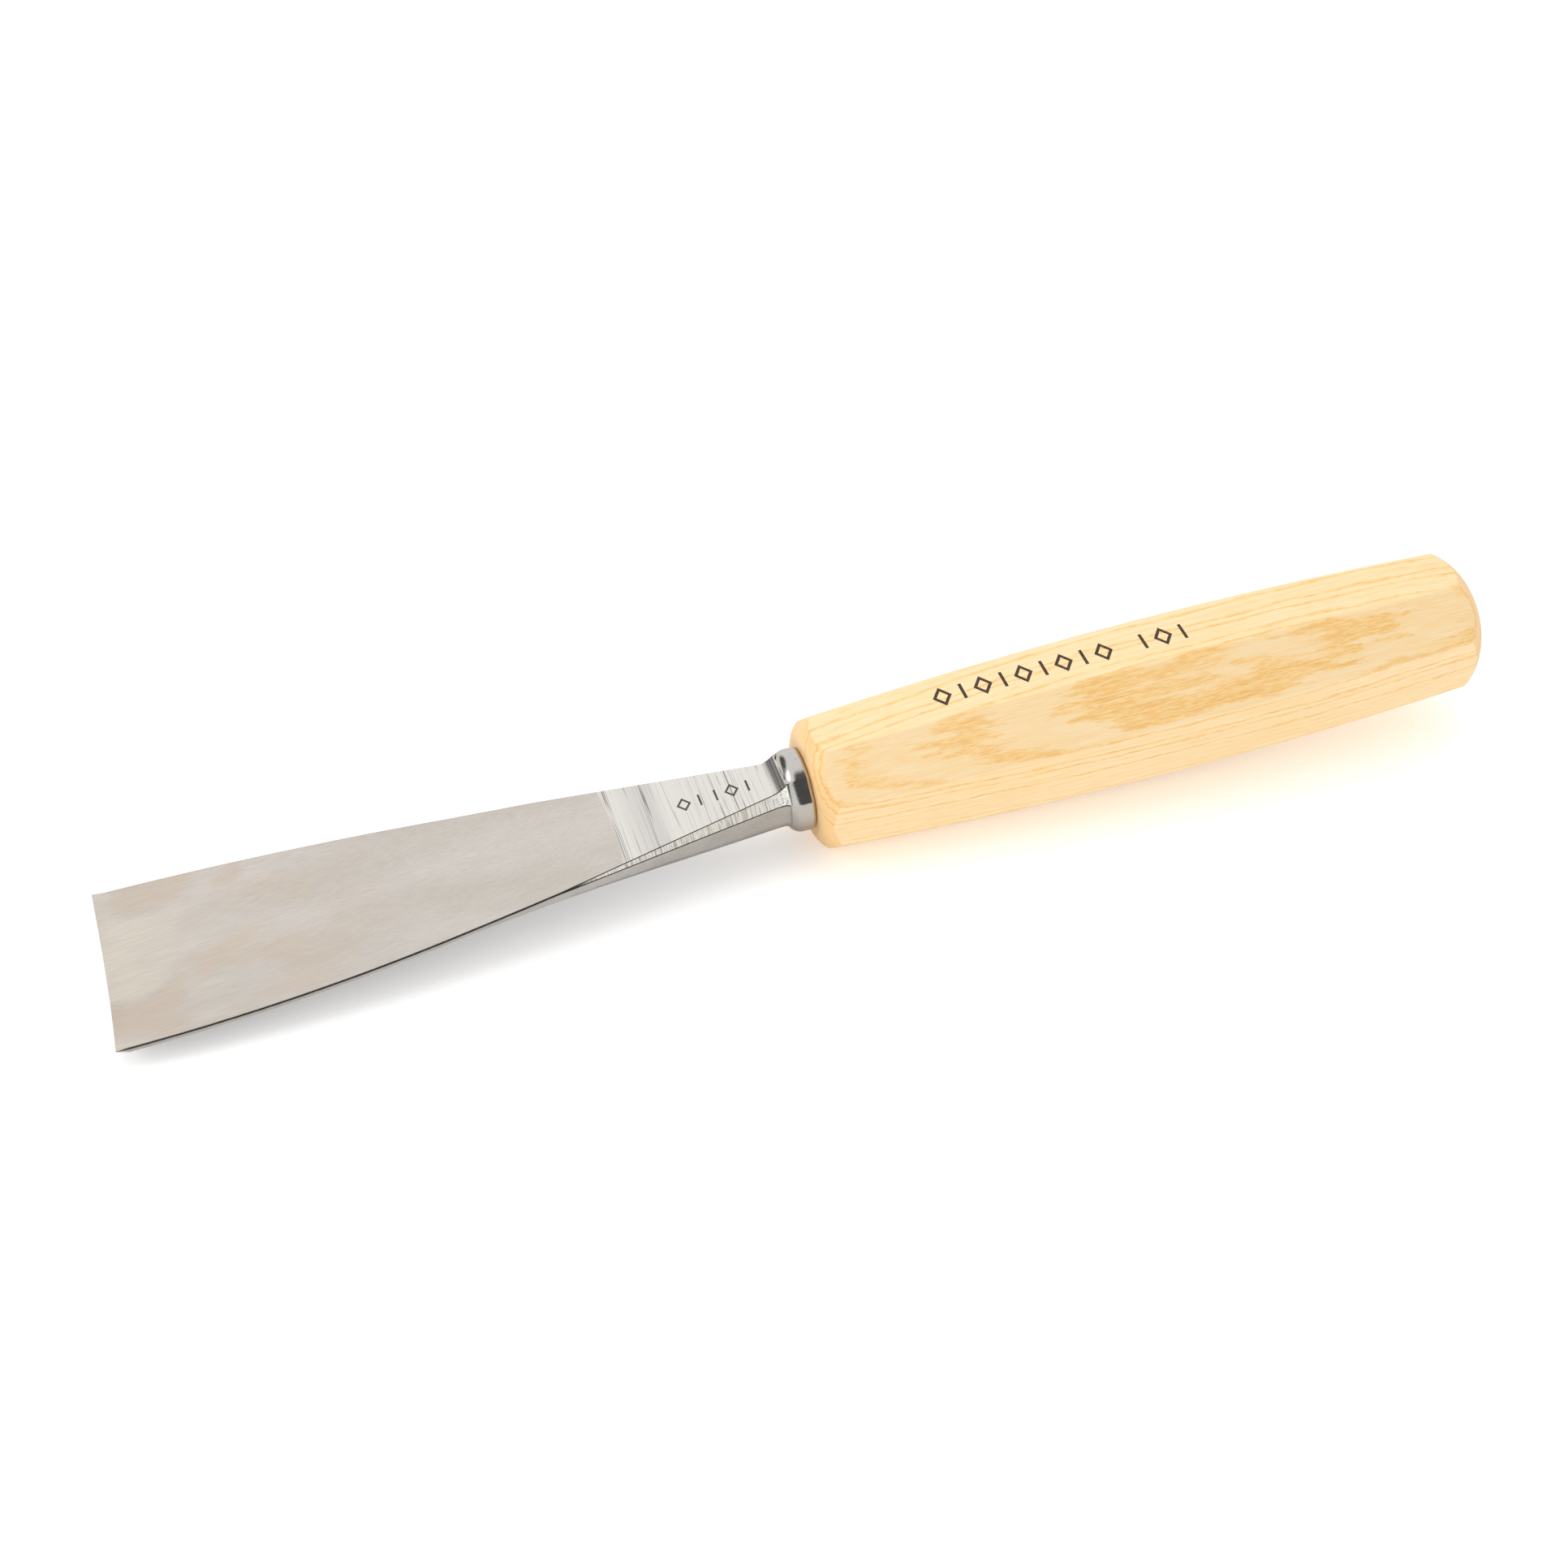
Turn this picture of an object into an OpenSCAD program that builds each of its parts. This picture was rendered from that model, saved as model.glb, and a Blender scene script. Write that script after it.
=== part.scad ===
// Straight carving gouge: forged flared blade with bolster and tang, hidden ferrule ring,
// octagonal barrel handle. The tool's axis is X, with the cutting edge towards -X, the butt
// towards +X and the hollow of the blade facing +Z. The origin is on the axis, at mid-length.

/* [Blade] */
// Width of the cutting edge
edge_w = 40; // [32:1:44]
// Length from the cutting edge to the back of the bolster
blade_len = 132; // [125:1:140]
// Radius of the hollow across the blade, a shallow sweep
sweep_r = 78; // [65:1:120]
// Length of the curved part of the flare, back from the edge
flare_len = 62; // [50:1:75]
// Width of the neck where it runs into the bolster
neck_w = 12.5; // [11:0.5:13]
// Thickness of the blade along its two sides
side_t = 0.9; // [0.7:0.1:1.5]
// Height of the neck's sides where they run into the bolster
neck_side_h = 6; // [5:0.5:6.5]
// Chamfer of the neck's top corners beside the bolster
neck_chamfer = 1.9; // [1.5:0.1:2.2]
// Break on the blade's top corners
corner_break = 0.3; // [0.1:0.1:0.4]
// Angle of the bevel on the underside
bevel_deg = 20; // [18:1:25]
// Length of the hollow, back from the edge
hollow_len = 95; // [90:1:100]
// Slope of the flat ground on top of the neck
neck_deg = 3.35; // [3:0.05:3.6]

/* [Bolster, tang and ferrule] */
// Diameter of the bolster
bolster_d = 16; // [15.5:0.5:18]
// Length of the bolster's full-diameter rim
rim_len = 2; // [1.5:0.1:2.5]
// Width of the square tang at the bolster
tang_w = 7; // [6:0.5:7.5]
// Width of the square tang at its tip
tang_tip_w = 3; // [2.5:0.5:4]
// Length of the tang
tang_len = 58; // [45:1:70]
// Outside diameter of the ferrule ring
ferrule_d = 14; // [13.5:0.5:15]
// Inside diameter of the ferrule ring
ferrule_bore = 11; // [10.8:0.1:12]
// Length of the ferrule ring
ferrule_len = 12; // [8:1:16]

/* [Handle] */
// Length of the handle
handle_len = 138; // [130:1:145]
// Widest size of the handle across its flats
handle_w = 30; // [28:0.5:32]
// Distance from the handle's front face to its widest place
widest_x = 75; // [65:1:80]
// Radius of the barrel curve along each facet
barrel_r = 1040; // [900:10:1400]
// Diameter of the flat front face
front_d = 20.4; // [19:0.2:22]
// Length of the turned dome at the butt
dome_len = 18; // [15:1:20]

/* [Hidden] */
steel = [0.76, 0.74, 0.71];
dark_steel = [0.45, 0.45, 0.46];
ash_wood = [0.95, 0.80, 0.55];

overall = blade_len + handle_len;
edge_x = -overall / 2;              // the cutting edge
seat_x = edge_x + blade_len;        // where bolster, ferrule and handle meet

// Heights above the tool's axis
edge_z = -0.35;                     // the two corners of the cutting edge
belly_z = -5.3;                     // the lowest line of the blade's back

// Plan of the blade: a parabola from the edge, then its tangent down to the neck
neck_s = blade_len - 7;
flare_c = (edge_w - neck_w) / 2 / (flare_len * (2 * neck_s - flare_len));
// Top of the blade from the side: a parabola from the edge, then the neck's straight slope
rise_len = 86;
rise_c = tan(neck_deg) / (2 * rise_len);
hollow_fade = 20;                   // the hollow runs out over this length
blend_power = 1.5;                  // how the sides deepen from the flare to the neck
corner_len = 78;                    // the chamfer starts to widen this far from the edge
honed_t = 0.06;                     // thickness left at the honed edge

// Every function below takes s, the distance back from the cutting edge.
function smooth(t) = let (c = min(max(t, 0), 1)) c * c * (3 - 2 * c);
function parabola_then_line(s, len) = s < len ? s * s : len * (2 * s - len);
function half_width(s) = edge_w / 2 - flare_c * parabola_then_line(s, flare_len);
function top_z(s) = edge_z + rise_c * parabola_then_line(s, rise_len);
function bevel_t(s) = honed_t + s * tan(bevel_deg);
function chamfer(s) = min(bevel_t(s) / 3, corner_break
    + (neck_chamfer - corner_break) * max(s - corner_len, 0) / (neck_s - corner_len));
function face_half(s) = half_width(s) - chamfer(s);
function arc_z(y) = sqrt(sweep_r * sweep_r - y * y);
function hollow_depth(y, s) =
    (arc_z(y) - arc_z(face_half(s))) * (1 - smooth(1 + (s - hollow_len) / hollow_fade));
function face_z(y, s) = top_z(s) - hollow_depth(y, s);
function side_h(s) = side_t + (neck_side_h - side_t)
    * pow(max(s - flare_len, 0) / (neck_s - flare_len), blend_power);
// The back is a parabola under the blade and turns into half an ellipse under the neck.
function back_power(s) = 1 - 0.5 * smooth((s - flare_len) / (neck_s - flare_len));
function back_z(y, s) =
    let (side_z = top_z(s) - side_h(s), inward = max(1 - pow(y / half_width(s), 2), 0))
    side_z - (side_z - belly_z) * pow(inward, back_power(s));
function under_z(y, s) = max(back_z(y, s), face_z(y, s) - bevel_t(s));

// One section: the hollow face from side to side, then the back the other way.
// Each corner between them is a chamfer, from the face down to the blade's side.
half_steps = 6;
across = [for (i = [-half_steps : half_steps]) sin(90 * i / half_steps)];
back_across = [for (i = [half_steps : -1 : -half_steps]) sin(90 * i / half_steps)];
function corner(side, s) = [edge_x + s, side * half_width(s), top_z(s) - chamfer(s)];
function section(s) = concat(
    [corner(-1, s)],
    [for (u = across) let (y = u * face_half(s)) [edge_x + s, y, face_z(y, s)]],
    [corner(1, s)],
    [for (u = back_across) let (y = u * half_width(s)) [edge_x + s, y, under_z(y, s)]]
);
stations = concat(
    [0, 1, 2, 3, 4.5, 6, 8],
    [for (s = [14 : 12 : 62]) s],
    [for (s = [68 : 4.5 : 95]) s],
    [for (s = [101 : 6 : neck_s]) s],
    [blade_len - rim_len]
);

// A closed skin over a list of sections that all have n points
module loft(sections, n) {
    last = len(sections) - 1;
    walls = [
        for (k = [0 : last - 1], i = [0 : n - 1])
            let (a = k * n + i, b = k * n + (i + 1) % n)
            each [[a, b, b + n], [a, b + n, a + n]]
    ];
    caps = [
        [for (i = [n - 1 : -1 : 0]) i],
        [for (i = [0 : n - 1]) last * n + i]
    ];
    polyhedron(points = [for (ring = sections) each ring], faces = concat(walls, caps));
}

module blade() {
    loft([for (s = stations) section(s)], 2 * len(across) + 2);
}

// Bolster: a full-diameter rim, a round front shoulder and a fillet towards the neck
shoulder_r = 2.4;
fillet_r = 1.6;
module bolster() {
    rim_r = bolster_d / 2;
    front_x = rim_len + shoulder_r;
    foot_r = rim_r - shoulder_r;
    profile = concat(
        [[0, 0], [rim_r - 0.3, 0], [rim_r, 0.3]],
        [for (a = [0 : 15 : 75])
            [foot_r + shoulder_r * cos(a), rim_len + shoulder_r * sin(a)]],
        [for (a = [15 : 25 : 90])
            [foot_r + 0.6 - fillet_r * sin(a), front_x + fillet_r * (1 - cos(a))]],
        [[0, front_x + fillet_r]]
    );
    translate([seat_x, 0, 0])
        rotate([0, -90, 0])
            rotate_extrude($fn = 96)
                polygon(profile);
}

// A square taper along +X, from width w0 to width w1: the tang, and the pocket it fills
module square_taper(w0, w1, length) {
    side = [[0, -w0 / 2], [length, -w1 / 2], [length, w1 / 2], [0, w0 / 2]];
    intersection() {
        linear_extrude(w0, center = true) polygon(side);
        rotate([90, 0, 0]) linear_extrude(w0, center = true) polygon(side);
    }
}

module tang() {
    translate([seat_x, 0, 0]) square_taper(tang_w, tang_tip_w, tang_len);
}

module gouge_blade() {
    color(steel)
        union() {
            blade();
            bolster();
            tang();
        }
}

module inner_ferrule() {
    color(dark_steel)
        translate([seat_x, 0, 0])
            rotate([0, 90, 0])
                difference() {
                    cylinder(d = ferrule_d, h = ferrule_len, $fn = 96);
                    translate([0, 0, -1]) cylinder(d = ferrule_bore, h = ferrule_len + 2, $fn = 96);
                }
}

// Two opposite long facets of the handle, as a slab with both faces barrelled. The narrow
// strip of each face that is centred on the widest place is exactly parallel to the axis.
strip_l = 6;
function barrel_h(x) = handle_w / 2 - (pow(x - widest_x, 2) - pow(strip_l / 2, 2)) / (2 * barrel_r);
module facet_slab() {
    first = ceil(widest_x / strip_l);
    last = ceil((handle_len - widest_x) / strip_l);
    xs = [for (i = [-first : last]) widest_x + strip_l * (i - 0.5)];
    outline = concat(
        [for (x = xs) [x, -barrel_h(x)]],
        [for (i = [len(xs) - 1 : -1 : 0]) [xs[i], barrel_h(xs[i])]]
    );
    rotate([90, 0, 0])
        linear_extrude(2 * handle_w, center = true)
            polygon(outline);
}

// The turned outline: flat front face, rounded front edge, clear middle, domed butt
front_round = 6;
dome_r = handle_w / 2 * 1.11;
dome_power = 2.7;
module turned_outline() {
    profile = concat(
        [[0, 0]],
        [for (x = [0 : 1 : front_round]) [front_d / 2 + x - x * x / 30, x]],
        [[dome_r + 2, front_round + 4], [dome_r + 2, handle_len - dome_len - 2]],
        [for (a = [0 : 6 : 84])
            let (t = sin(a))
            [dome_r * pow(1 - pow(t, dome_power), 1 / dome_power), handle_len - dome_len * (1 - t)]],
        [[0, handle_len]]
    );
    rotate([0, 90, 0])
        rotate_extrude($fn = 120)
            polygon(profile);
}

module handle() {
    color(ash_wood)
        difference() {
            translate([seat_x, 0, 0])
                intersection() {
                    turned_outline();
                    intersection_for (i = [0 : 3]) rotate([45 * i, 0, 0]) facet_slab();
                }
            tang();
            translate([seat_x - 1, 0, 0])
                rotate([0, 90, 0])
                    cylinder(d = ferrule_d, h = ferrule_len + 1, $fn = 96);
        }
}

gouge_blade();
inner_ferrule();
handle();
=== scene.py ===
"""Straight carving gouge lying on a pale floor: a forged steel blade with its bolster and tang,
the ferrule ring hidden in the handle, and an octagonal ash handle.

Shapes are worked out in millimetres in the frame of the CAD model and scaled to metres as each
mesh is made. X runs along the tool towards the butt, and the hollow of the blade faces +Z.
"""

import math

import bpy
import numpy as np
from mathutils import Matrix, Vector


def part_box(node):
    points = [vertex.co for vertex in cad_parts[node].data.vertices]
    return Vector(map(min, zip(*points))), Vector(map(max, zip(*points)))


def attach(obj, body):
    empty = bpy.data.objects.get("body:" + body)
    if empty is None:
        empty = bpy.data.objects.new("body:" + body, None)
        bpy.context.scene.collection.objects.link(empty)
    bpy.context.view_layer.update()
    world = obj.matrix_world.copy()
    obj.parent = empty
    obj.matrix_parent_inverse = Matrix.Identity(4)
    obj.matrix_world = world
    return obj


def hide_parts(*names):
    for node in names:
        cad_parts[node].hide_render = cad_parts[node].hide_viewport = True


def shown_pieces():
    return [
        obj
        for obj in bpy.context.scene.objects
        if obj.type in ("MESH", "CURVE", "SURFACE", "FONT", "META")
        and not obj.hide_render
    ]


MM = 0.001
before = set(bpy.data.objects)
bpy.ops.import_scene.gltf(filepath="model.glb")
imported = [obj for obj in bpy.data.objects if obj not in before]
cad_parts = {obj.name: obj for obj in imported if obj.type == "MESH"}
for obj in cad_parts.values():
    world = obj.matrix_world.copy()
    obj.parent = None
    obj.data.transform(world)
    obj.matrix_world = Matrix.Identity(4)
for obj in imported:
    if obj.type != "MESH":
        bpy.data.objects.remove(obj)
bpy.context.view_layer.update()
blade_low, blade_high = (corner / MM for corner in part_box("gouge_blade"))
ring_low, ring_high = (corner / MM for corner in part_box("inner_ferrule"))
handle_low, handle_high = (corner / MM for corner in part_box("handle"))

# ---------------------------------------------------------------- driving dimensions
EDGE_X = blade_low.x
SEAT_X = handle_low.x
BUTT_X = handle_high.x
TANG_END_X = blade_high.x
EDGE_W = blade_high.y - blade_low.y
BOLSTER_R = blade_high.z
RING_R = ring_high.y
RING_LEN = ring_high.x - ring_low.x
HANDLE_W = handle_high.z - handle_low.z
HANDLE_LEN = BUTT_X - SEAT_X
BLADE_LEN = SEAT_X - EDGE_X

# Blade, measured back from the cutting edge
FLARE_LEN = 62.0
NECK_S = BLADE_LEN - 7.0
NECK_W = 12.5
SWEEP_R = 78.0
SIDE_T = 0.9
SIDE_POWER = 1.5
NECK_SIDE_H = 6.0
NECK_CHAMFER = 1.9
CORNER_BREAK = 0.3
CORNER_LEN = 82.0
EDGE_Z = -0.35
BELLY_Z = -5.3
HONED_T = 0.06
BEVEL = math.radians(20.0)
HOLLOW_LEN = 95.0
HOLLOW_FADE = 20.0
NECK_SLOPE = math.radians(3.35)
RISE_LEN = 86.0
BEVEL_RINGS_LEN = 9

# Bolster, measured from its back face: a bead with a round front shoulder, and a ground cove
# that leads up to it. The blade and the bead blend over the last part of the blade.
SHOULDER_X = -2.3
SHOULDER_R = 2.4
REAR_ROUND = 0.8
COVE_X, COVE_R, COVE_REACH = -8.2, 4.5, 3.6
FILLET_X, FILLET_R, FILLET_REACH = -5.8, 1.7, 1.3
BLEND_POWER = 22
BLEND_LEN = 10
TANG_W = 7.0
TANG_TIP_W = 3.0
RING_WALL = 1.5
RING_BREAK = 0.2

# Handle, measured back from its front face
WIDEST = 75.0
BARREL_R = 1040.0
FRONT_R = 10.6
FRONT_EDGE = 1.6
FRONT_ROUND = 6.0
FRONT_CURVE = 30.0
FRONT_FACE_RADII = (8.6, 8.1, 7.6)
DOME_LEN = 18.0
DOME_R = HANDLE_W / 2 * 1.11
DOME_POWER = 2.7
ARRIS_POWER = 190.0

# Growth layers of the ash: thickness, radius of their bend and where across the facet it
# starts, depth at which one layer starts, seed of their strengths, slope along the handle,
# and the part of each axis in the way that the facet between top and side faces
LAYER_T = 1.25
LAYER_R = 24.0
LAYER_BEND_FROM = 0.5
LAYER_START = 12.66
LAYER_SEED = 4
LAYER_TILT = 0.010
DIAGONAL = math.sqrt(0.5)

# Marks: a burnt row on the handle's top facet and a stamped row on the neck
MARK_H = 4.2
MARK_W = 3.0
MARK_PITCH = 4.05
BURNT_STROKE = 0.62
BURNT_ROW_X = 27.8
MARK_PROUD = 0.012
MARK_DEPTH = 0.12
STAMP_H = 2.9
STAMP_W = 2.3
STAMP_PITCH = 3.1
STAMP_STROKE = 0.40
STAMP_ROW_X = -23.4


# ---------------------------------------------------------------- shapes of the blade
def smooth(t):
    t = np.clip(t, 0.0, 1.0)
    return t * t * (3 - 2 * t)


def parabola_then_line(s, length):
    return s * s if s < length else length * (2 * s - length)


def half_width(s):
    share = (EDGE_W - NECK_W) / 2 / (FLARE_LEN * (2 * NECK_S - FLARE_LEN))
    return EDGE_W / 2 - share * parabola_then_line(min(s, NECK_S), FLARE_LEN)


def top_z(s):
    return EDGE_Z + math.tan(NECK_SLOPE) / (2 * RISE_LEN) * parabola_then_line(s, RISE_LEN)


def bevel_t(s):
    return HONED_T + s * math.tan(BEVEL)


def chamfer(s):
    widening = (NECK_CHAMFER - CORNER_BREAK) * max(s - CORNER_LEN, 0) / (NECK_S - CORNER_LEN)
    return min(bevel_t(s) / 3, CORNER_BREAK + widening)


def side_h(s):
    run = np.clip((s - FLARE_LEN) / (NECK_S - FLARE_LEN), 0, 1)
    return SIDE_T + (NECK_SIDE_H - SIDE_T) * run**SIDE_POWER


def concave_rise(x, start, radius, reach):
    """How far a concave arc has risen at x, along an arc that begins flat at start."""
    along = np.clip(x - start, 0, reach)
    return radius - math.sqrt(radius**2 - along**2)


def bolster_r(x):
    """Radius of the turned bolster at x from the seat, and 0 in front of it."""
    if x < SHOULDER_X - SHOULDER_R:
        return 0.0
    if x < SHOULDER_X:
        return BOLSTER_R - SHOULDER_R + math.sqrt(SHOULDER_R**2 - (x - SHOULDER_X) ** 2)
    over = max(x + REAR_ROUND, 0)
    return BOLSTER_R - REAR_ROUND + math.sqrt(max(REAR_ROUND**2 - over**2, 0))


FACE_COLUMNS = 56
SIDE_COLUMNS = 4
UNDER_COLUMNS = 44
CHAMFER_ZONES = ["border", "chamfer", "border"]
BORDER_W = 0.24
BORDER_MOST = 0.3
COLUMN_ZONES = [
    *["face"] * FACE_COLUMNS,
    *CHAMFER_ZONES,
    *["side"] * (SIDE_COLUMNS + UNDER_COLUMNS + SIDE_COLUMNS),
    *CHAMFER_ZONES,
]


def blade_section(s):
    """Closed outline (y, z) of the blade at distance s from the edge, as seen from the butt:
    across the face, down one chamfer and side, back along the underside and up the other."""
    x = s - BLADE_LEN
    cove = concave_rise(x, COVE_X, COVE_R, COVE_REACH)
    fillet = concave_rise(x, FILLET_X, FILLET_R, FILLET_REACH)
    corner = chamfer(s)
    half = half_width(s) + fillet
    face_half = half_width(s) - corner
    top = top_z(min(s, BLADE_LEN + COVE_X)) + cove
    corner_z = top_z(s) - corner
    side_z = top_z(s) - side_h(s)

    fade = 1 - smooth((s - HOLLOW_LEN) / HOLLOW_FADE + 1)
    rim_arc = math.sqrt(SWEEP_R**2 - face_half**2)

    def face(y):
        return top - (np.sqrt(SWEEP_R**2 - y**2) - rim_arc) * fade

    def under(y):
        inward = np.clip(1 - (y / half) ** 2, 0, 1)
        power = 1 - 0.5 * smooth((s - FLARE_LEN) / (NECK_S - FLARE_LEN))
        back = side_z - (side_z - BELLY_Z + fillet) * inward**power
        hollow = face(np.clip(y, -face_half, face_half))
        return np.maximum(back, hollow - bevel_t(s))

    across = np.linspace(-1, 1, FACE_COLUMNS + 1)
    face_y = across * face_half
    back_y = np.sin(np.linspace(math.pi / 2, -math.pi / 2, UNDER_COLUMNS + 1)) * half
    face_line = np.stack([face_y, face(face_y)], axis=1)
    under_line = np.stack([back_y, under(back_y)], axis=1)
    shoulder = np.array([half, corner_z])

    # Share of the chamfer that the border on either side of it takes
    border = min(BORDER_W / corner / 2, BORDER_MOST)

    def between(start, end, shares):
        return start + (end - start) * np.array(shares)[:, None]

    side_shares = np.arange(SIDE_COLUMNS) / SIDE_COLUMNS
    right = [
        face_line,
        between(face_line[-1], shoulder, (border, 1 - border)),
        between(shoulder, under_line[0], side_shares),
        under_line,
    ]
    mirror = np.array([-1, 1])
    left = [
        between(under_line[-1], shoulder * mirror, side_shares[1:]),
        between(shoulder * mirror, face_line[0], (0, border, 1 - border)),
    ]
    return np.concatenate(right + left)


def with_x(outline, x):
    return np.column_stack([np.full(len(outline), x), outline])


def square_outline(angles, width):
    """A square of that width, at the given angles round the axis."""
    radius = width / 2 / np.maximum(abs(np.cos(angles)), abs(np.sin(angles)))
    return np.stack([radius * np.cos(angles), radius * np.sin(angles)], axis=1)


def forging_rings():
    """Rings of the whole forging from the cutting edge to the tip of the tang, each with the
    name of the zone that follows it."""
    rings = []
    blend_starts = round(BLADE_LEN) - BLEND_LEN
    bevel_stations = np.arange(0, BEVEL_RINGS_LEN, 0.25)
    for s in [*bevel_stations, *np.arange(BEVEL_RINGS_LEN, blend_starts, 1.0)]:
        rings.append((with_x(blade_section(s), EDGE_X + s), "blade"))
    bolster_starts = SHOULDER_X - SHOULDER_R
    for x in np.arange(-BLEND_LEN, 0.001, 0.1):
        outline = blade_section(BLADE_LEN + x)
        reach = np.hypot(outline[:, 0], outline[:, 1])
        swell = np.power(reach**BLEND_POWER + bolster_r(x) ** BLEND_POWER, 1 / BLEND_POWER)
        outline = outline * (swell / reach)[:, None]
        zone = "blade" if x < bolster_starts else "bolster"
        rings.append((with_x(outline, SEAT_X + x), zone))
    angles = np.arctan2(outline[:, 1], outline[:, 0])
    for x, width in ((0, TANG_W), (TANG_END_X - SEAT_X, TANG_TIP_W)):
        rings.append((with_x(square_outline(angles, width), SEAT_X + x), "tang"))
    return rings


# ---------------------------------------------------------------- shapes of the handle
def facet_h(x):
    """Height of a facet at x from the front face, just inside the CAD's so that marks fit."""
    return HANDLE_W / 2 - MARK_PROUD - (x - WIDEST) ** 2 / (2 * BARREL_R)


def turned_r(x):
    """Radius of the turned outline at x from the front face."""
    if x > HANDLE_LEN - DOME_LEN:
        t = 1 - (HANDLE_LEN - x) / DOME_LEN
        return DOME_R * max(1 - t**DOME_POWER, 0) ** (1 / DOME_POWER)
    along = min(x, FRONT_ROUND)
    before_edge = 1 - min(x / FRONT_EDGE, 1)
    softened = FRONT_EDGE * (1 - math.sqrt(1 - before_edge**2))
    return FRONT_R - softened + along - along**2 / FRONT_CURVE + max(x - FRONT_ROUND, 0)


def soft_min(a, b):
    """The smaller of two radii, with the edge where they meet softly rounded."""
    return np.exp(-np.logaddexp(-ARRIS_POWER * np.log(a), -ARRIS_POWER * np.log(b)) / ARRIS_POWER)


def octagon_r(angles, height):
    """Radius of an octagon whose flats are at that height, with softly rounded arrises."""
    radius = np.full(len(angles), 1e3)
    for flat in np.arange(8) * math.pi / 4:
        radius = soft_min(radius, height / np.clip(np.cos(angles - flat), 1e-3, None))
    return radius


# Rings of the handle lie closer together near its front
HANDLE_COLUMNS = 320
RING_COLUMNS = 128
BODY_STEP = 0.8
FRONT_STEP = 0.2
FRONT_LEN = 8.0


def round_the_axis(count):
    """Angles of that many points round the axis, and the points on a unit circle."""
    angles = np.arange(count) * 2 * math.pi / count
    return angles, np.stack([np.cos(angles), np.sin(angles)], axis=1)


def handle_rings():
    """Rings of the handle from the dome's tip forwards over the outside, round the front face
    and back down the counterbore to the tip of the pocket."""
    angles, circle = round_the_axis(HANDLE_COLUMNS)
    dome = [HANDLE_LEN - DOME_LEN * (1 - math.sin(a)) for a in np.radians(np.linspace(89.5, 0, 90))]
    body = np.arange(HANDLE_LEN - DOME_LEN - BODY_STEP, FRONT_LEN, -BODY_STEP)
    edge = FRONT_EDGE * np.linspace(1, 0, 14) ** 2
    front = [*np.arange(FRONT_LEN, FRONT_EDGE, -FRONT_STEP), *edge]
    rings = []
    for x in [*dome, *body, *front]:
        radius = soft_min(octagon_r(angles, facet_h(x)), max(turned_r(x), 1e-3))
        rings.append((with_x(circle * radius[:, None], SEAT_X + x), "outside"))
    for radius in (*FRONT_FACE_RADII, RING_R):
        rings.append((with_x(circle * radius, SEAT_X), "outside"))
    rings.append((with_x(circle * RING_R, SEAT_X + RING_LEN), "bore"))
    depth = TANG_END_X - SEAT_X
    for x in (RING_LEN, depth):
        width = TANG_W + (TANG_TIP_W - TANG_W) * x / depth
        rings.append((with_x(square_outline(angles, width), SEAT_X + x), "bore"))
    return rings


def ring_rings():
    """Rings round the wall of the ferrule, as a closed tube with slightly broken edges."""
    circle = round_the_axis(RING_COLUMNS)[1]
    inner_r = RING_R - RING_WALL
    wall = [
        (0, inner_r + RING_BREAK),
        (0, RING_R - RING_BREAK),
        (RING_BREAK, RING_R),
        (RING_LEN - RING_BREAK, RING_R),
        (RING_LEN, RING_R - RING_BREAK),
        (RING_LEN, inner_r + RING_BREAK),
        (RING_LEN - RING_BREAK, inner_r),
        (RING_BREAK, inner_r),
    ]
    return [(with_x(circle * radius, SEAT_X + x), "ring") for x, radius in wall]


# ---------------------------------------------------------------- meshes
SHARP_ANGLE = math.radians(28)


def in_scene(name, mesh):
    """A new object in the scene, with that mesh."""
    made = bpy.data.objects.new(name, mesh)
    bpy.context.scene.collection.objects.link(made)
    return made


def skin(name, rings, finish_of, finishes, node, loop=False, flipped=False):
    """Makes a piece that stands for one CAD node: a smooth closed mesh over rings of equally
    many points. finish_of(zone, column) gives each face's place in finishes. Loop joins the last
    ring to the first. Flipped turns the faces over, for rings that run clockwise as seen from
    where the list of rings ends."""
    count = len(rings[0][0])
    points = np.concatenate([ring for ring, _ in rings]) * MM
    faces = []
    places = []
    spans = len(rings) if loop else len(rings) - 1
    for k in range(spans):
        here = k * count
        there = (k + 1) % len(rings) * count
        for i in range(count):
            j = (i + 1) % count
            faces.append((here + i, here + j, there + j, there + i))
            places.append(finish_of(rings[k][1], i))
    if not loop:
        last = (len(rings) - 1) * count
        for start, zone, order in ((0, rings[0][1], -1), (last, rings[-1][1], 1)):
            faces.append(tuple(start + i for i in range(count))[::order])
            places.append(finish_of(zone, 0))
    mesh = bpy.data.meshes.new(name)
    mesh.from_pydata(points.tolist(), [], faces)
    for finish in finishes:
        mesh.materials.append(finish)
    mesh.polygons.foreach_set("material_index", places)
    if flipped:
        mesh.flip_normals()
    mesh.shade_smooth()
    mesh.set_sharp_from_angle(angle=SHARP_ANGLE)
    piece = in_scene(name, mesh)
    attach(piece, "root")
    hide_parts(node)


LOZENGE = ((-0.5, 0.0), (0.0, 0.5), (0.5, 0.0), (0.0, -0.5))
BAR = ((0.0, -0.5), (0.0, 0.5))


def stroke_corners(path, width, closed):
    """Left and right edge points of a stroke of that width along a path, with mitred turns."""
    path = [Vector(p) for p in path]
    edges = []
    for i, p in enumerate(path):
        before = path[i - 1] if closed or i > 0 else None
        after = path[(i + 1) % len(path)] if closed or i < len(path) - 1 else None
        ways = []
        if before is not None:
            ways.append((p - before).normalized())
        if after is not None:
            ways.append((after - p).normalized())
        way = sum(ways, Vector((0, 0))).normalized()
        side = Vector((-way.y, way.x)) * (width / 2 / max(way.dot(ways[0]), 0.4))
        edges.append((p + side, p - side))
    return edges


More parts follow.
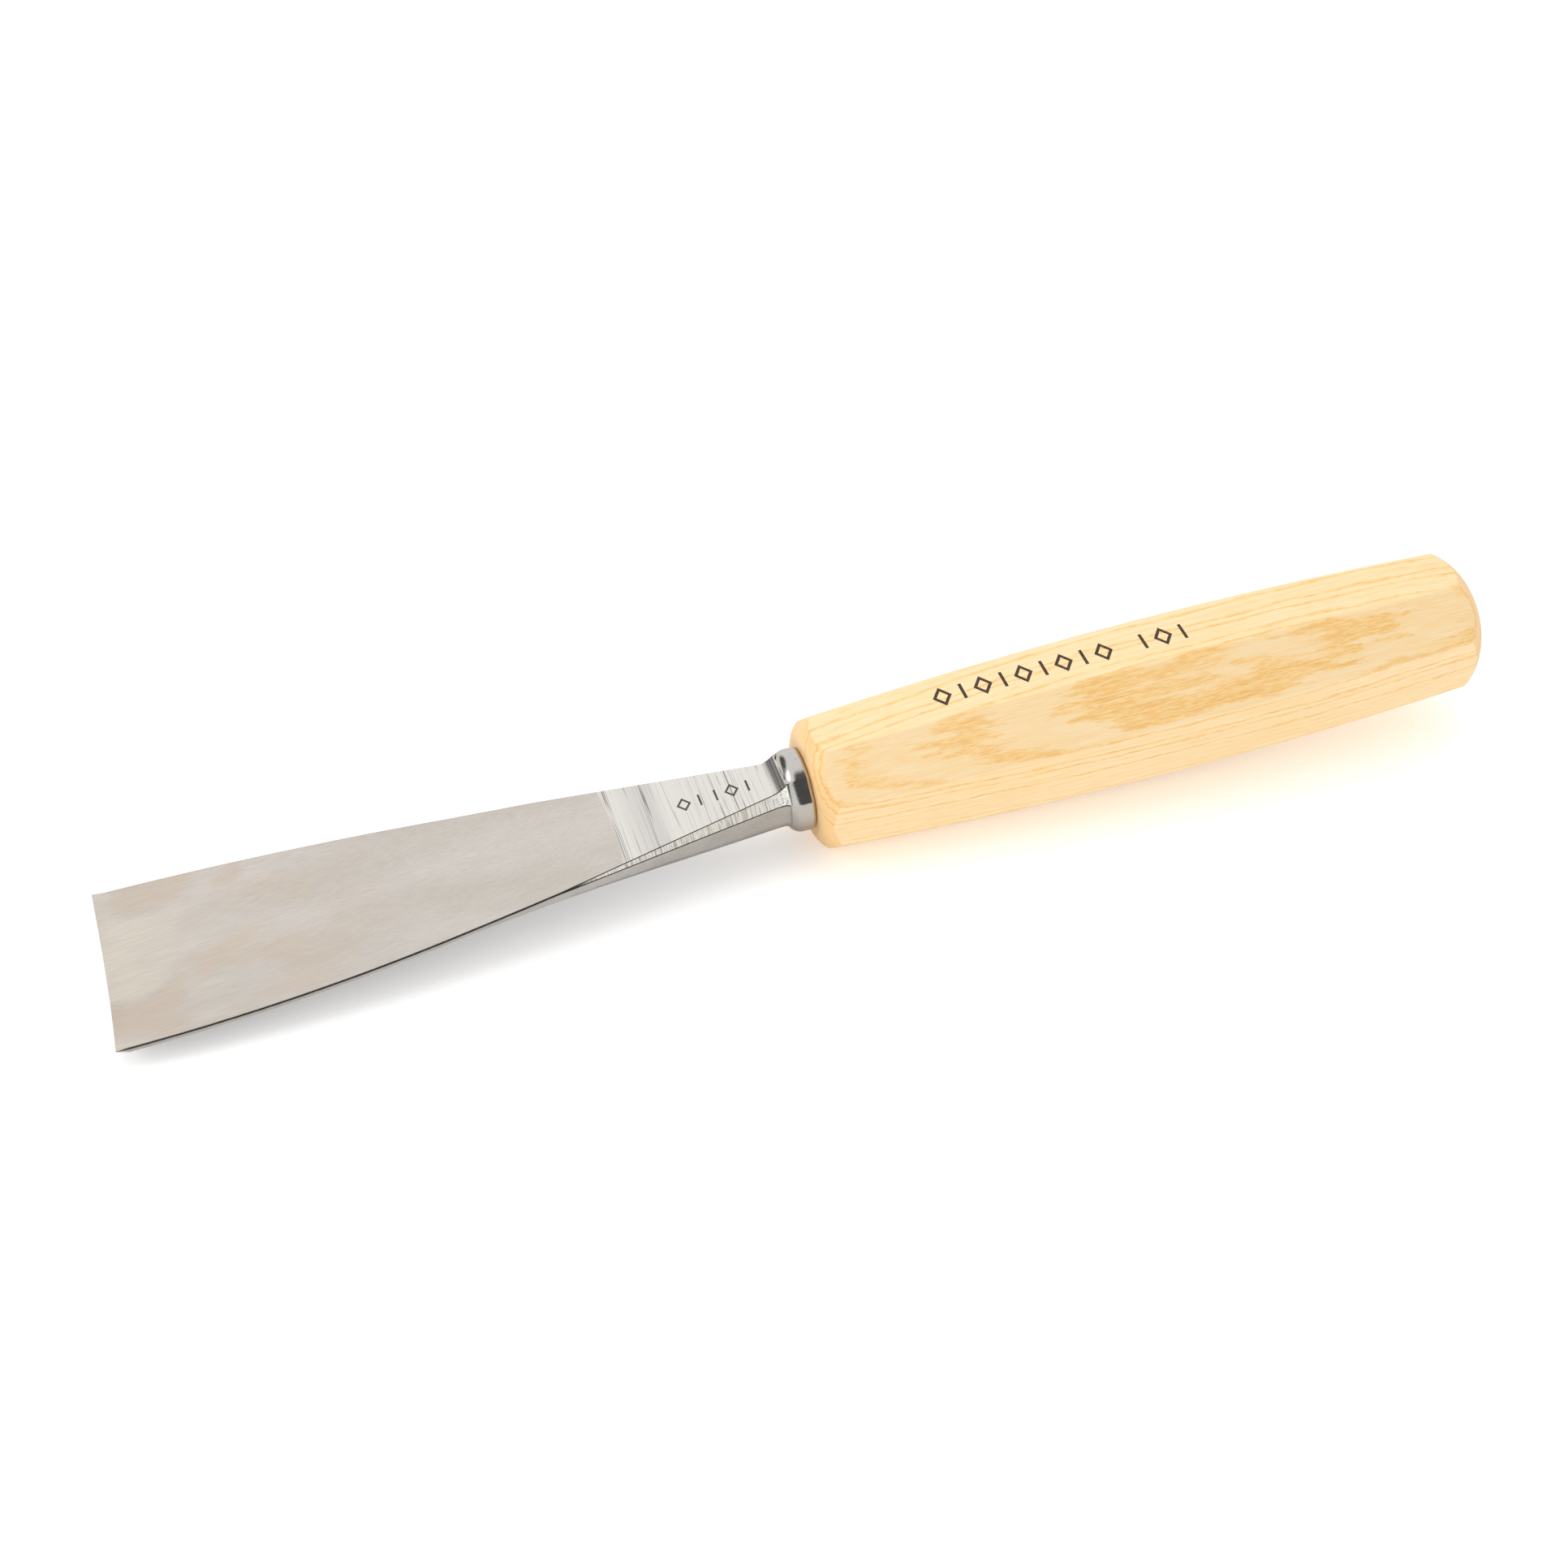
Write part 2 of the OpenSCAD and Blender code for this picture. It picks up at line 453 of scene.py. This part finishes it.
def marks(name, shapes, start_x, pitch, size, stroke, height_at, finish):
    """Makes a piece: a row of plain geometric marks let into a surface of that height."""
    verts = []
    faces = []
    for place, shape in enumerate(shapes):
        if shape is None:
            continue
        closed = len(shape) > 2
        path = [(start_x + place * pitch + u * size[0], v * size[1]) for u, v in shape]
        edges = stroke_corners(path, stroke, closed)
        first = len(verts)
        for left, right in edges:
            for p in (left, right):
                z = height_at(p.x)
                verts.append((p.x, p.y, z + MARK_PROUD))
                verts.append((p.x, p.y, z - MARK_DEPTH))
        spans = len(edges) if closed else len(edges) - 1
        for i in range(spans):
            a = first + 4 * i
            b = first + 4 * ((i + 1) % len(edges))
            faces.append((a, a + 2, b + 2, b))
            faces.append((a + 3, a + 1, b + 1, b + 3))
            faces.append((a + 1, a, b, b + 1))
            faces.append((a + 2, a + 3, b + 3, b + 2))
        if not closed:
            last = first + 4 * spans
            faces.append((first, first + 1, first + 3, first + 2))
            faces.append((last + 1, last, last + 2, last + 3))
    mesh = bpy.data.meshes.new(name)
    mesh.from_pydata([[c * MM for c in v] for v in verts], [], faces)
    mesh.materials.append(finish)
    piece = in_scene(name, mesh)
    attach(piece, "root")


# ---------------------------------------------------------------- materials
class Finish:
    """A material under construction, with short calls for the nodes that all of them use.
    Its x, y and z are the place on the tool in millimetres."""

    def __init__(self, name):
        self.material = bpy.data.materials.new(name)
        self.material.use_nodes = True
        self.tree = self.material.node_tree
        self.shader = self.tree.nodes["Principled BSDF"]
        place = self.add("ShaderNodeTexCoord").outputs["Object"]
        scaled = self.add("ShaderNodeVectorMath", {0: place, "Scale": 1 / MM}, operation="SCALE")
        self.place = scaled.outputs[0]
        self.x, self.y, self.z = self.add("ShaderNodeSeparateXYZ", {0: self.place}).outputs

    def add(self, kind, inputs=None, **settings):
        node = self.tree.nodes.new(kind)
        for name, value in settings.items():
            setattr(node, name, value)
        for name, value in (inputs or {}).items():
            self.put(node.inputs[name], value)
        return node

    def put(self, socket, value):
        if isinstance(value, bpy.types.NodeSocket):
            self.tree.links.new(value, socket)
        else:
            socket.default_value = value

    def math(self, operation, a, b=0.0):
        return self.add("ShaderNodeMath", {0: a, 1: b}, operation=operation).outputs[0]

    def fade(self, value, start, end, low=0.0, high=1.0):
        """Goes smoothly from low to high as value goes from start to end."""
        inputs = {"Value": value, "From Min": start, "From Max": end, "To Min": low, "To Max": high}
        node = self.add("ShaderNodeMapRange", inputs, interpolation_type="SMOOTHSTEP")
        return node.outputs[0]

    def noise(self, per_mm, detail=2.0, turn=0.0, shift=0.0):
        """Noise from 0 to 1 with that many features per millimetre along x, y and z, turned
        round the z axis by some degrees."""
        turned = self.add(
            "ShaderNodeVectorRotate",
            {"Vector": self.place, "Angle": math.radians(turn)},
            rotation_type="Z_AXIS",
        )
        mapping = self.add(
            "ShaderNodeMapping",
            {"Vector": turned.outputs[0], "Scale": per_mm, "Location": (shift, shift, shift)},
        )
        inputs = {"Vector": mapping.outputs[0], "Scale": 1.0, "Detail": detail, "Roughness": 0.6}
        return self.add("ShaderNodeTexNoise", inputs).outputs["Fac"]

    def facing(self, way):
        """How far the surface faces that way in the tool's frame, from -1 to 1."""
        normal = self.add("ShaderNodeTexCoord").outputs["Normal"]
        product = self.add("ShaderNodeVectorMath", {0: normal, 1: way}, operation="DOT_PRODUCT")
        return product.outputs["Value"]

    def lean(self):
        """How far the surface faces the butt, and below 0 if it faces the cutting edge."""
        return self.facing((1, 0, 0))

    def mix(self, factor, a, b, blend="MIX"):
        inputs = {"Factor": factor, 6: opaque(a), 7: opaque(b)}
        node = self.add("ShaderNodeMix", inputs, data_type="RGBA", blend_type=blend)
        return node.outputs[2]

    def blend(self, factor, a, b):
        return self.add("ShaderNodeMix", {"Factor": factor, 2: a, 3: b}).outputs[0]

    def bump(self, height, depth_mm):
        inputs = {"Height": height, "Distance": depth_mm * MM, "Strength": 1.0}
        self.put(self.shader.inputs["Normal"], self.add("ShaderNodeBump", inputs).outputs[0])

    def done(self, **inputs):
        for name, value in inputs.items():
            self.put(self.shader.inputs[name.replace("_", " ")], opaque(value))
        return self.material


def opaque(value):
    return (*value, 1.0) if isinstance(value, tuple) and len(value) == 3 else value


def face_finish():
    """Top of the blade: satin hollow with fine lengthwise scratches and heat tints, then the
    flat of the neck with its grinding lines across, and a band of painted shade just behind the hollow."""
    f = Finish("ground_face")
    fine = f.noise((0.10, 9.0, 9.0), 4, turn=2)
    slant = f.noise((0.16, 5.0, 5.0), 3, turn=-9, shift=7)
    broad = f.noise((0.03, 0.10, 0.10), 2, turn=8, shift=3)
    patches = f.noise((0.055, 0.075, 0.075), 1.5, turn=-25, shift=11)

    grey = f.mix(f.fade(broad, 0.3, 0.7), (0.72, 0.665, 0.60), (0.79, 0.735, 0.68))
    near_edge = f.fade(f.x, EDGE_X + 60, EDGE_X + 22)
    tan = f.math("MULTIPLY", near_edge, f.fade(patches, 0.44, 0.60))
    tinted = f.mix(f.math("MULTIPLY", tan, 0.55), grey, (0.76, 0.62, 0.49))
    pale = f.math("MULTIPLY", f.fade(f.x, EDGE_X + 24, EDGE_X + 6), f.fade(patches, 0.55, 0.38))
    tinted = f.mix(f.math("MULTIPLY", pale, 0.7), tinted, (0.87, 0.79, 0.67))
    streaks = f.fade(f.blend(0.5, fine, slant), 0.38, 0.62, 0.0, 0.26)
    hollow = f.mix(streaks, tinted, (0.42, 0.38, 0.34))

    lines = f.noise((2.6, 0.02, 0.02), 5, turn=1.0, shift=5)
    sparse = f.noise((0.7, 0.005, 0.005), 1, turn=0.6, shift=31)
    shade = f.noise((0.22, 0.01, 0.01), 2, shift=14)
    off_line = f.math("ABSOLUTE", f.math("SUBTRACT", sparse, 0.5))
    strength = f.fade(f.noise((0.5, 0.10, 0.10), 1, shift=23), 0.30, 0.62, 0.15, 1.0)
    cut = f.math("MULTIPLY", f.fade(off_line, 0.010, 0.003), strength)
    # Painted shade: a soft darker band across the neck flat just behind the hollow, standing in for a
    # slightly dished flat that mirrors the room darker; the mesh there is flat
    painted_shade_front = f.fade(f.x, SEAT_X - 36, SEAT_X - 30.5)
    painted_shade_back = f.fade(f.x, SEAT_X - 26.5, SEAT_X - 29.5)
    painted_dish_shade = f.math("MULTIPLY", painted_shade_front, painted_shade_back)
    ground = f.mix(f.fade(lines, 0.3, 0.7), (0.85, 0.815, 0.765), (0.905, 0.875, 0.825))
    ground = f.mix(f.fade(shade, 0.42, 0.30, 0.0, 0.22), ground, (0.62, 0.60, 0.59))
    ground = f.mix(f.math("MULTIPLY", painted_dish_shade, 0.45), ground, (0.60, 0.575, 0.56))
    ground = f.mix(f.math("MULTIPLY", cut, 0.75), ground, (0.22, 0.20, 0.19))

    bulge = f.math("MULTIPLY", f.math("MULTIPLY", f.y, f.y), -0.006)
    line_x = f.math("SUBTRACT", f.x, bulge)
    neck = f.fade(line_x, SEAT_X - 37.4, SEAT_X - 36.8)
    height = f.blend(neck, f.blend(0.4, fine, slant), f.math("SUBTRACT", lines, cut))
    f.bump(height, 0.0013)
    roughness = f.blend(neck, f.fade(fine, 0.3, 0.7, 0.30, 0.40), f.fade(lines, 0.3, 0.7, 0.20, 0.32))
    return f.done(Base_Color=f.mix(neck, hollow, ground), Metallic=1.0, Roughness=roughness)


def chamfer_finish():
    """Milled chamfers of the neck: rough ticks across. Further forward they shrink to broken
    corners, painted near black as a painted dark reflection."""
    f = Finish("milled_chamfer")
    ticks = f.noise((4.6, 0.25, 0.25), 3, shift=2)
    # Near-white flecks towards the bolster: rough torn metal in the bump, and a painted glint in the
    # colour
    glints = f.noise((2.2, 2.6, 2.6), 3, shift=9)
    torn_and_glinting = f.math("MULTIPLY", f.fade(f.x, SEAT_X - 10, SEAT_X - 7), f.fade(glints, 0.46, 0.54))
    milled_colour = f.mix(f.fade(ticks, 0.34, 0.56), (0.50, 0.46, 0.40), (0.95, 0.91, 0.83))
    milled_colour = f.mix(torn_and_glinting, milled_colour, (0.98, 0.97, 0.95))
    milled = f.fade(f.x, SEAT_X - 50, SEAT_X - 42)
    f.bump(f.math("ADD", ticks, torn_and_glinting), 0.03)
    # Forward of the milling the broken corner is painted near black: a painted dark reflection of the
    # room
    colour = f.mix(milled, (0.10, 0.095, 0.09), milled_colour)
    metallic = f.fade(milled, 0, 1, 1.0, 0.40)
    roughness = f.fade(milled, 0, 1, 0.25, 0.55)
    return f.done(Base_Color=colour, Metallic=metallic, Roughness=roughness)


def border_finish():
    """The thin burr along both borders of a chamfer, with light painted in: a painted dark reflection
    on the neck, a painted highlight further forward.
    """
    f = Finish("chamfer_border")
    wear_and_reflection = f.noise((1.2, 3.0, 3.0), 3, shift=3)
    # Painted dark reflection along the borders on the neck, and a painted highlight along them further
    # forward
    colour = f.mix(f.fade(wear_and_reflection, 0.35, 0.7), (0.03, 0.026, 0.022), (0.12, 0.105, 0.09))
    colour = f.mix(f.fade(f.x, SEAT_X - 46, SEAT_X - 52), colour, (0.86, 0.82, 0.76))
    f.bump(wear_and_reflection, 0.01)
    return f.done(Base_Color=colour, Metallic=1.0, Roughness=f.fade(wear_and_reflection, 0.3, 0.7, 0.3, 0.45))


def side_finish():
    """Sides and underside: smooth even grinding along the blade, with faint polishing marks.
    The bevel, which leans towards the edge, is brighter and honed."""
    f = Finish("ground_side")
    along = f.noise((0.15, 6.0, 6.0), 4, shift=4)
    cloud = f.noise((0.08, 0.2, 0.2), 2, shift=8)
    honing = f.noise((6.0, 0.5, 0.5), 3, turn=12, shift=15)
    leaning = f.fade(f.lean(), -0.14, -0.24)
    bevel = f.math("MULTIPLY", leaning, f.fade(f.x, EDGE_X + 12, EDGE_X + 10))
    colour = f.mix(f.fade(cloud, 0.3, 0.7), (0.53, 0.51, 0.49), (0.62, 0.60, 0.58))
    honed = f.mix(f.fade(honing, 0.3, 0.7), (0.66, 0.64, 0.61), (0.76, 0.74, 0.71))
    f.bump(f.blend(bevel, along, honing), 0.003)
    roughness = f.blend(bevel, f.fade(along, 0.3, 0.7, 0.24, 0.34), f.fade(honing, 0.3, 0.7, 0.12, 0.2))
    return f.done(Base_Color=f.mix(bevel, colour, honed), Metallic=1.0, Roughness=roughness)


def bolster_finish():
    """Polished bolster with a little pitting left from the forging."""
    f = Finish("polished_bolster")
    pits = f.noise((2.6, 2.6, 2.6), 4, shift=1)
    turned = f.noise((7.0, 0.3, 0.3), 2, shift=6)
    pitted = f.fade(pits, 0.36, 0.28)
    colour = f.mix(f.math("MULTIPLY", pitted, 0.6), (0.65, 0.625, 0.59), (0.30, 0.27, 0.25))
    f.bump(f.math("SUBTRACT", f.math("MULTIPLY", turned, 0.15), pitted), 0.006)
    return f.done(Base_Color=colour, Metallic=1.0, Roughness=f.fade(pits, 0.3, 0.7, 0.22, 0.13))


def forged_finish():
    """Dark scale left by the forge on the tang."""
    f = Finish("forge_scale")
    scale = f.noise((0.7, 0.9, 0.9), 5)
    colour = f.mix(f.fade(scale, 0.35, 0.65), (0.05, 0.045, 0.04), (0.16, 0.15, 0.145))
    f.bump(scale, 0.08)
    return f.done(Base_Color=colour, Metallic=0.85, Roughness=f.fade(scale, 0.3, 0.7, 0.45, 0.7))


def ring_finish():
    """Plain turned steel of the hidden ferrule ring."""
    f = Finish("turned_ring")
    turned = f.noise((9.0, 0.2, 0.2), 3)
    colour = f.mix(f.fade(turned, 0.3, 0.7), (0.42, 0.42, 0.43), (0.58, 0.58, 0.59))
    f.bump(turned, 0.01)
    return f.done(Base_Color=colour, Metallic=1.0, Roughness=f.fade(turned, 0.3, 0.7, 0.28, 0.42))


def ash_finish(name, bare=False):
    """Ring-porous ash. Growth layers lie flat under the facet between top and side, so that
    facet shows patches of pore dashes and its neighbours show straight grain."""
    f = Finish(name)
    toward_facet = f.math("MULTIPLY", f.math("SUBTRACT", f.z, f.y), DIAGONAL)
    across_facet = f.math("MULTIPLY", f.math("ADD", f.z, f.y), DIAGONAL)
    bent = f.math("MAXIMUM", f.math("SUBTRACT", LAYER_BEND_FROM, across_facet), 0.0)
    curving = f.math("MULTIPLY", f.math("MULTIPLY", bent, bent), 1 / (2 * LAYER_R))
    wave = f.fade(f.noise((0.03, 0.10, 0.10), 1.5, shift=2), 0, 1, -0.55, 0.55)
    ripple = f.fade(f.noise((0.10, 0.75, 0.75), 4, shift=5), 0, 1, -0.55, 0.55)
    depth = f.math("SUBTRACT", toward_facet, curving)
    depth = f.math("ADD", depth, f.math("MULTIPLY", f.x, LAYER_TILT))
    depth = f.math("ADD", depth, f.math("ADD", wave, ripple))
    years = f.math("DIVIDE", f.math("SUBTRACT", depth, LAYER_START), LAYER_T)
    year = f.math("FRACT", years)
    layer = f.math("ADD", f.math("FLOOR", years), LAYER_SEED)
    lot = f.add("ShaderNodeTexWhiteNoise", {"W": layer}, noise_dimensions="1D").outputs["Value"]
    facet_facing = f.facing((0, -DIAGONAL, DIAGONAL))
    flat = f.fade(f.math("ABSOLUTE", facet_facing), 0.78, 0.95)
    end_of_pores = f.math("ADD", f.math("MULTIPLY", lot, 0.18), f.blend(flat, 0.10, 0.16))
    past_pores = f.math("SUBTRACT", year, end_of_pores)
    porous = f.math("MULTIPLY", f.fade(year, 0.0, 0.16), f.fade(past_pores, 0.30, 0.0))
    vividness = f.blend(flat, f.fade(lot, 0.10, 0.60, 0.35, 1.0), f.blend(lot, 0.70, 1.0))
    porous = f.math("MULTIPLY", porous, vividness)

    dash = f.noise((0.42, 5.0, 5.0), 1.5, shift=1)
    long_dash = f.noise((0.14, 3.6, 3.6), 2, shift=17)
    fibre = f.noise((0.05, 3.2, 3.2), 3, shift=12)
    cloud = f.noise((0.02, 0.08, 0.08), 2, shift=21)
    pores = f.math("MULTIPLY", porous, f.fade(dash, 0.50, 0.59))
    long_pores = f.math("MULTIPLY", porous, f.fade(long_dash, 0.48, 0.62))

    colour = f.mix(f.fade(cloud, 0.3, 0.7), (0.925, 0.65, 0.315), (0.93, 0.68, 0.37))
    colour = f.mix(f.fade(fibre, 0.38, 0.68, 0.0, 0.85), colour, (0.94, 0.74, 0.45))
    colour = f.mix(f.math("MULTIPLY", porous, 0.52), colour, (0.965, 0.60, 0.17))
    colour = f.mix(f.math("MULTIPLY", pores, 0.50), colour, (0.85, 0.41, 0.07))
    colour = f.mix(f.math("MULTIPLY", long_pores, 0.48), colour, (0.83, 0.43, 0.09))
    lean = f.lean()
    end_grain = f.fade(f.math("ABSOLUTE", lean), 0.90, 0.99)
    turned = f.fade(f.math("ABSOLUTE", lean), 0.22, 0.55)
    colour = f.mix(f.math("MULTIPLY", turned, 0.9), colour, (0.97, 0.85, 0.70), "MULTIPLY")
    colour = f.mix(end_grain, colour, (0.97, 0.95, 0.98), "MULTIPLY")
    if bare:
        return f.done(Base_Color=f.mix(0.4, colour, (0.45, 0.26, 0.12)), Roughness=0.8)
    f.bump(f.math("SUBTRACT", f.math("MULTIPLY", fibre, 0.25), pores), 0.025)
    roughness = f.fade(pores, 0, 1, 0.40, 0.55)
    return f.done(Base_Color=colour, Roughness=roughness, Coat_Weight=0.35, Coat_Roughness=0.22)


def burnt_finish():
    """Wood charred by a branding iron."""
    f = Finish("burnt_wood")
    char = f.noise((3.0, 3.0, 3.0), 4, shift=2)
    colour = f.mix(f.fade(char, 0.35, 0.7), (0.022, 0.015, 0.010), (0.11, 0.065, 0.035))
    f.bump(char, 0.03)
    return f.done(Base_Color=colour, Roughness=f.fade(char, 0.3, 0.7, 0.6, 0.85))


def stamped_finish():
    """Dark bottom of the marks stamped into the neck."""
    f = Finish("stamped_steel")
    grime = f.noise((4.0, 4.0, 4.0), 3, shift=6)
    colour = f.mix(f.fade(grime, 0.35, 0.7), (0.05, 0.045, 0.03), (0.20, 0.18, 0.14))
    f.bump(grime, 0.02)
    return f.done(Base_Color=colour, Metallic=0.7, Roughness=f.fade(grime, 0.3, 0.7, 0.4, 0.6))


def floor_finish():
    """White floor. Steel and lacquer mirror it darker than the camera sees it."""
    f = Finish("pale_floor")
    mirrored = f.add("ShaderNodeLightPath").outputs["Is Glossy Ray"]
    colour = f.mix(mirrored, (0.96, 0.96, 0.96), (0.74, 0.72, 0.69))
    f.put(f.shader.inputs["Emission Strength"], f.blend(mirrored, 0.25, 0.0))
    return f.done(Base_Color=colour, Roughness=0.9, Emission_Color=(1.0, 1.0, 1.0))


# ---------------------------------------------------------------- the tool
FORGING_FINISHES = {
    "face": face_finish(),
    "chamfer": chamfer_finish(),
    "border": border_finish(),
    "side": side_finish(),
    "bolster": bolster_finish(),
    "tang": forged_finish(),
}
FINISH_ORDER = list(FORGING_FINISHES)


def forging_place(zone, column):
    if zone != "blade":
        return FINISH_ORDER.index(zone)
    return FINISH_ORDER.index(COLUMN_ZONES[column])


skin(
    "forged_blade",
    forging_rings(),
    forging_place,
    FORGING_FINISHES.values(),
    "gouge_blade",
    flipped=True,
)
skin(
    "ash_handle",
    handle_rings()[::-1],
    lambda zone, column: int(zone == "bore"),
    (ash_finish("lacquered_ash"), ash_finish("bare_ash", bare=True)),
    "handle",
)
skin(
    "ferrule_ring",
    ring_rings(),
    lambda zone, column: 0,
    (ring_finish(),),
    "inner_ferrule",
    loop=True,
)


marks(
    "burnt_marks",
    (LOZENGE, BAR, LOZENGE, BAR, LOZENGE, BAR, LOZENGE, BAR, LOZENGE, None, BAR, LOZENGE, BAR),
    SEAT_X + BURNT_ROW_X,
    MARK_PITCH,
    (MARK_W, MARK_H),
    BURNT_STROKE,
    lambda x: facet_h(x - SEAT_X),
    burnt_finish(),
)
marks(
    "stamped_marks",
    (LOZENGE, BAR, BAR, LOZENGE, BAR),
    SEAT_X + STAMP_ROW_X,
    STAMP_PITCH,
    (STAMP_W, STAMP_H),
    STAMP_STROKE,
    lambda x: top_z(x - EDGE_X),
    stamped_finish(),
)


# ---------------------------------------------------------------- the floor
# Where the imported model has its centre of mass, and half the floor's width
BALANCE_X = -16.1
FLOOR_HALF = 3000 * MM


def resting_line(points, balance_x):
    """The two lowest outline points, in side view, that the tool stands on: the edge of the
    lower hull that passes under its centre of mass."""
    hull = []
    for p in sorted(points):
        while len(hull) > 1 and turn_of(hull[-2], hull[-1], p) <= 0:
            hull.pop()
        hull.append(p)
    return next((a, b) for a, b in zip(hull, hull[1:]) if a[0] <= balance_x <= b[0])


def turn_of(a, b, c):
    return (b[0] - a[0]) * (c[1] - a[1]) - (b[1] - a[1]) * (c[0] - a[0])


def make_floor():
    """A wide floor under the tool, tilted in the tool's frame as the tool lies on it."""
    shown = [v.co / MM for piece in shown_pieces() for v in piece.data.vertices]
    outline = [(round(p.x, 3), round(p.z, 3)) for p in shown]
    heel, rest = resting_line(outline, BALANCE_X)
    along = Vector((rest[0] - heel[0], 0, rest[1] - heel[1])).normalized()
    across = Vector((0, 1, 0))
    middle = Vector((heel[0], 0, heel[1])) * MM
    corners = [
        middle + along * i * FLOOR_HALF + across * j * FLOOR_HALF
        for i, j in ((-1, -1), (1, -1), (1, 1), (-1, 1))
    ]
    mesh = bpy.data.meshes.new("floor")
    mesh.from_pydata([c[:] for c in corners], [], [(0, 1, 2, 3)])
    mesh.materials.append(floor_finish())
    floor = in_scene("floor", mesh)


make_floor()


# ---------------------------------------------------------------- camera and light
def aimed(obj, place, target, roll_deg=0.0):
    """Puts obj at place, looking at target along its own -Z."""
    turn = (Vector(target) - Vector(place)).to_track_quat("-Z", "Y").to_matrix().to_4x4()
    roll = Matrix.Rotation(math.radians(roll_deg), 4, "Z")
    obj.matrix_world = Matrix.Translation(place) @ turn @ roll
    bpy.context.scene.collection.objects.link(obj)
    return obj


def direction(azimuth_deg, elevation_deg):
    """Unit vector from the tool towards a place round it: azimuth 0 is -Y, the camera's side,
    and 90 is +X."""
    a = math.radians(azimuth_deg)
    e = math.radians(elevation_deg)
    return Vector((math.sin(a) * math.cos(e), -math.cos(a) * math.cos(e), math.sin(e)))


VIEW_AZIMUTH = -14.695
VIEW_ELEVATION = 43.92
VIEW_ROLL = -4.236
VIEW_DISTANCE = 466 * MM
VIEW_TARGET = Vector((-5.84, 4.08, -1.92)) * MM
LENS = 56.3

camera_data = bpy.data.cameras.new("camera")
camera_data.lens = LENS
camera_data.sensor_width = 36.0
camera_data.clip_start = 0.01
camera_place = VIEW_TARGET + direction(VIEW_AZIMUTH, VIEW_ELEVATION) * VIEW_DISTANCE
camera = aimed(bpy.data.objects.new("camera", camera_data), camera_place, VIEW_TARGET, VIEW_ROLL)
bpy.context.scene.camera = camera


def softbox(name, azimuth, elevation, distance, size, watts, mirrored):
    light = bpy.data.lights.new(name, "AREA")
    light.shape = "RECTANGLE"
    light.size, light.size_y = size
    light.energy = watts
    lamp = aimed(bpy.data.objects.new(name, light), direction(azimuth, elevation) * distance, (0, 0, 0))
    lamp.visible_glossy = mirrored


softbox("top_softbox", 172, 70, distance=1.1, size=(0.9, 0.9), watts=3.0, mirrored=False)
softbox("left_softbox", -96, 32, distance=1.0, size=(0.5, 0.6), watts=1.6, mirrored=True)


# Dark parts of the room that glossy surfaces mirror: azimuth, elevation, radius in degrees
DARK_CARDS = (
    (18, 44, 50),
    (-140, 16, 28),
)


def studio_world(brightness, card_brightness, softness=12):
    """An even bright studio. Only what glossy surfaces mirror has dark cards in it."""
    world = bpy.data.worlds.new("studio")
    world.use_nodes = True
    tree = world.node_tree

    def node(kind, inputs, output=0, **settings):
        made = tree.nodes.new(kind)
        for name, value in settings.items():
            setattr(made, name, value)
        for name, value in inputs.items():
            if isinstance(value, bpy.types.NodeSocket):
                tree.links.new(value, made.inputs[name])
            else:
                made.inputs[name].default_value = value
        return made.outputs[output]

    place = node("ShaderNodeTexCoord", {}, "Generated")
    mirrored = node("ShaderNodeLightPath", {}, "Is Glossy Ray")
    dark = 0.0
    for azimuth, elevation, radius in DARK_CARDS:
        inputs = {0: place, 1: direction(azimuth, elevation)}
        across = node("ShaderNodeVectorMath", inputs, "Value", operation="DOT_PRODUCT")
        inputs = {
            "Value": across,
            "From Min": math.cos(math.radians(radius)),
            "From Max": math.cos(math.radians(radius - softness)),
        }
        card = node("ShaderNodeMapRange", inputs, interpolation_type="SMOOTHSTEP")
        dark = node("ShaderNodeMath", {0: dark, 1: card}, operation="MAXIMUM")
    dark = node("ShaderNodeMath", {0: dark, 1: mirrored}, operation="MULTIPLY")
    inputs = {"Value": dark, "To Min": brightness, "To Max": card_brightness}
    background = tree.nodes["Background"]
    background.inputs["Color"].default_value = (1.0, 1.0, 1.0, 1.0)
    tree.links.new(node("ShaderNodeMapRange", inputs), background.inputs["Strength"])
    bpy.context.scene.world = world


studio_world(brightness=0.90, card_brightness=0.08)
bpy.context.scene.view_settings.view_transform = "Standard"
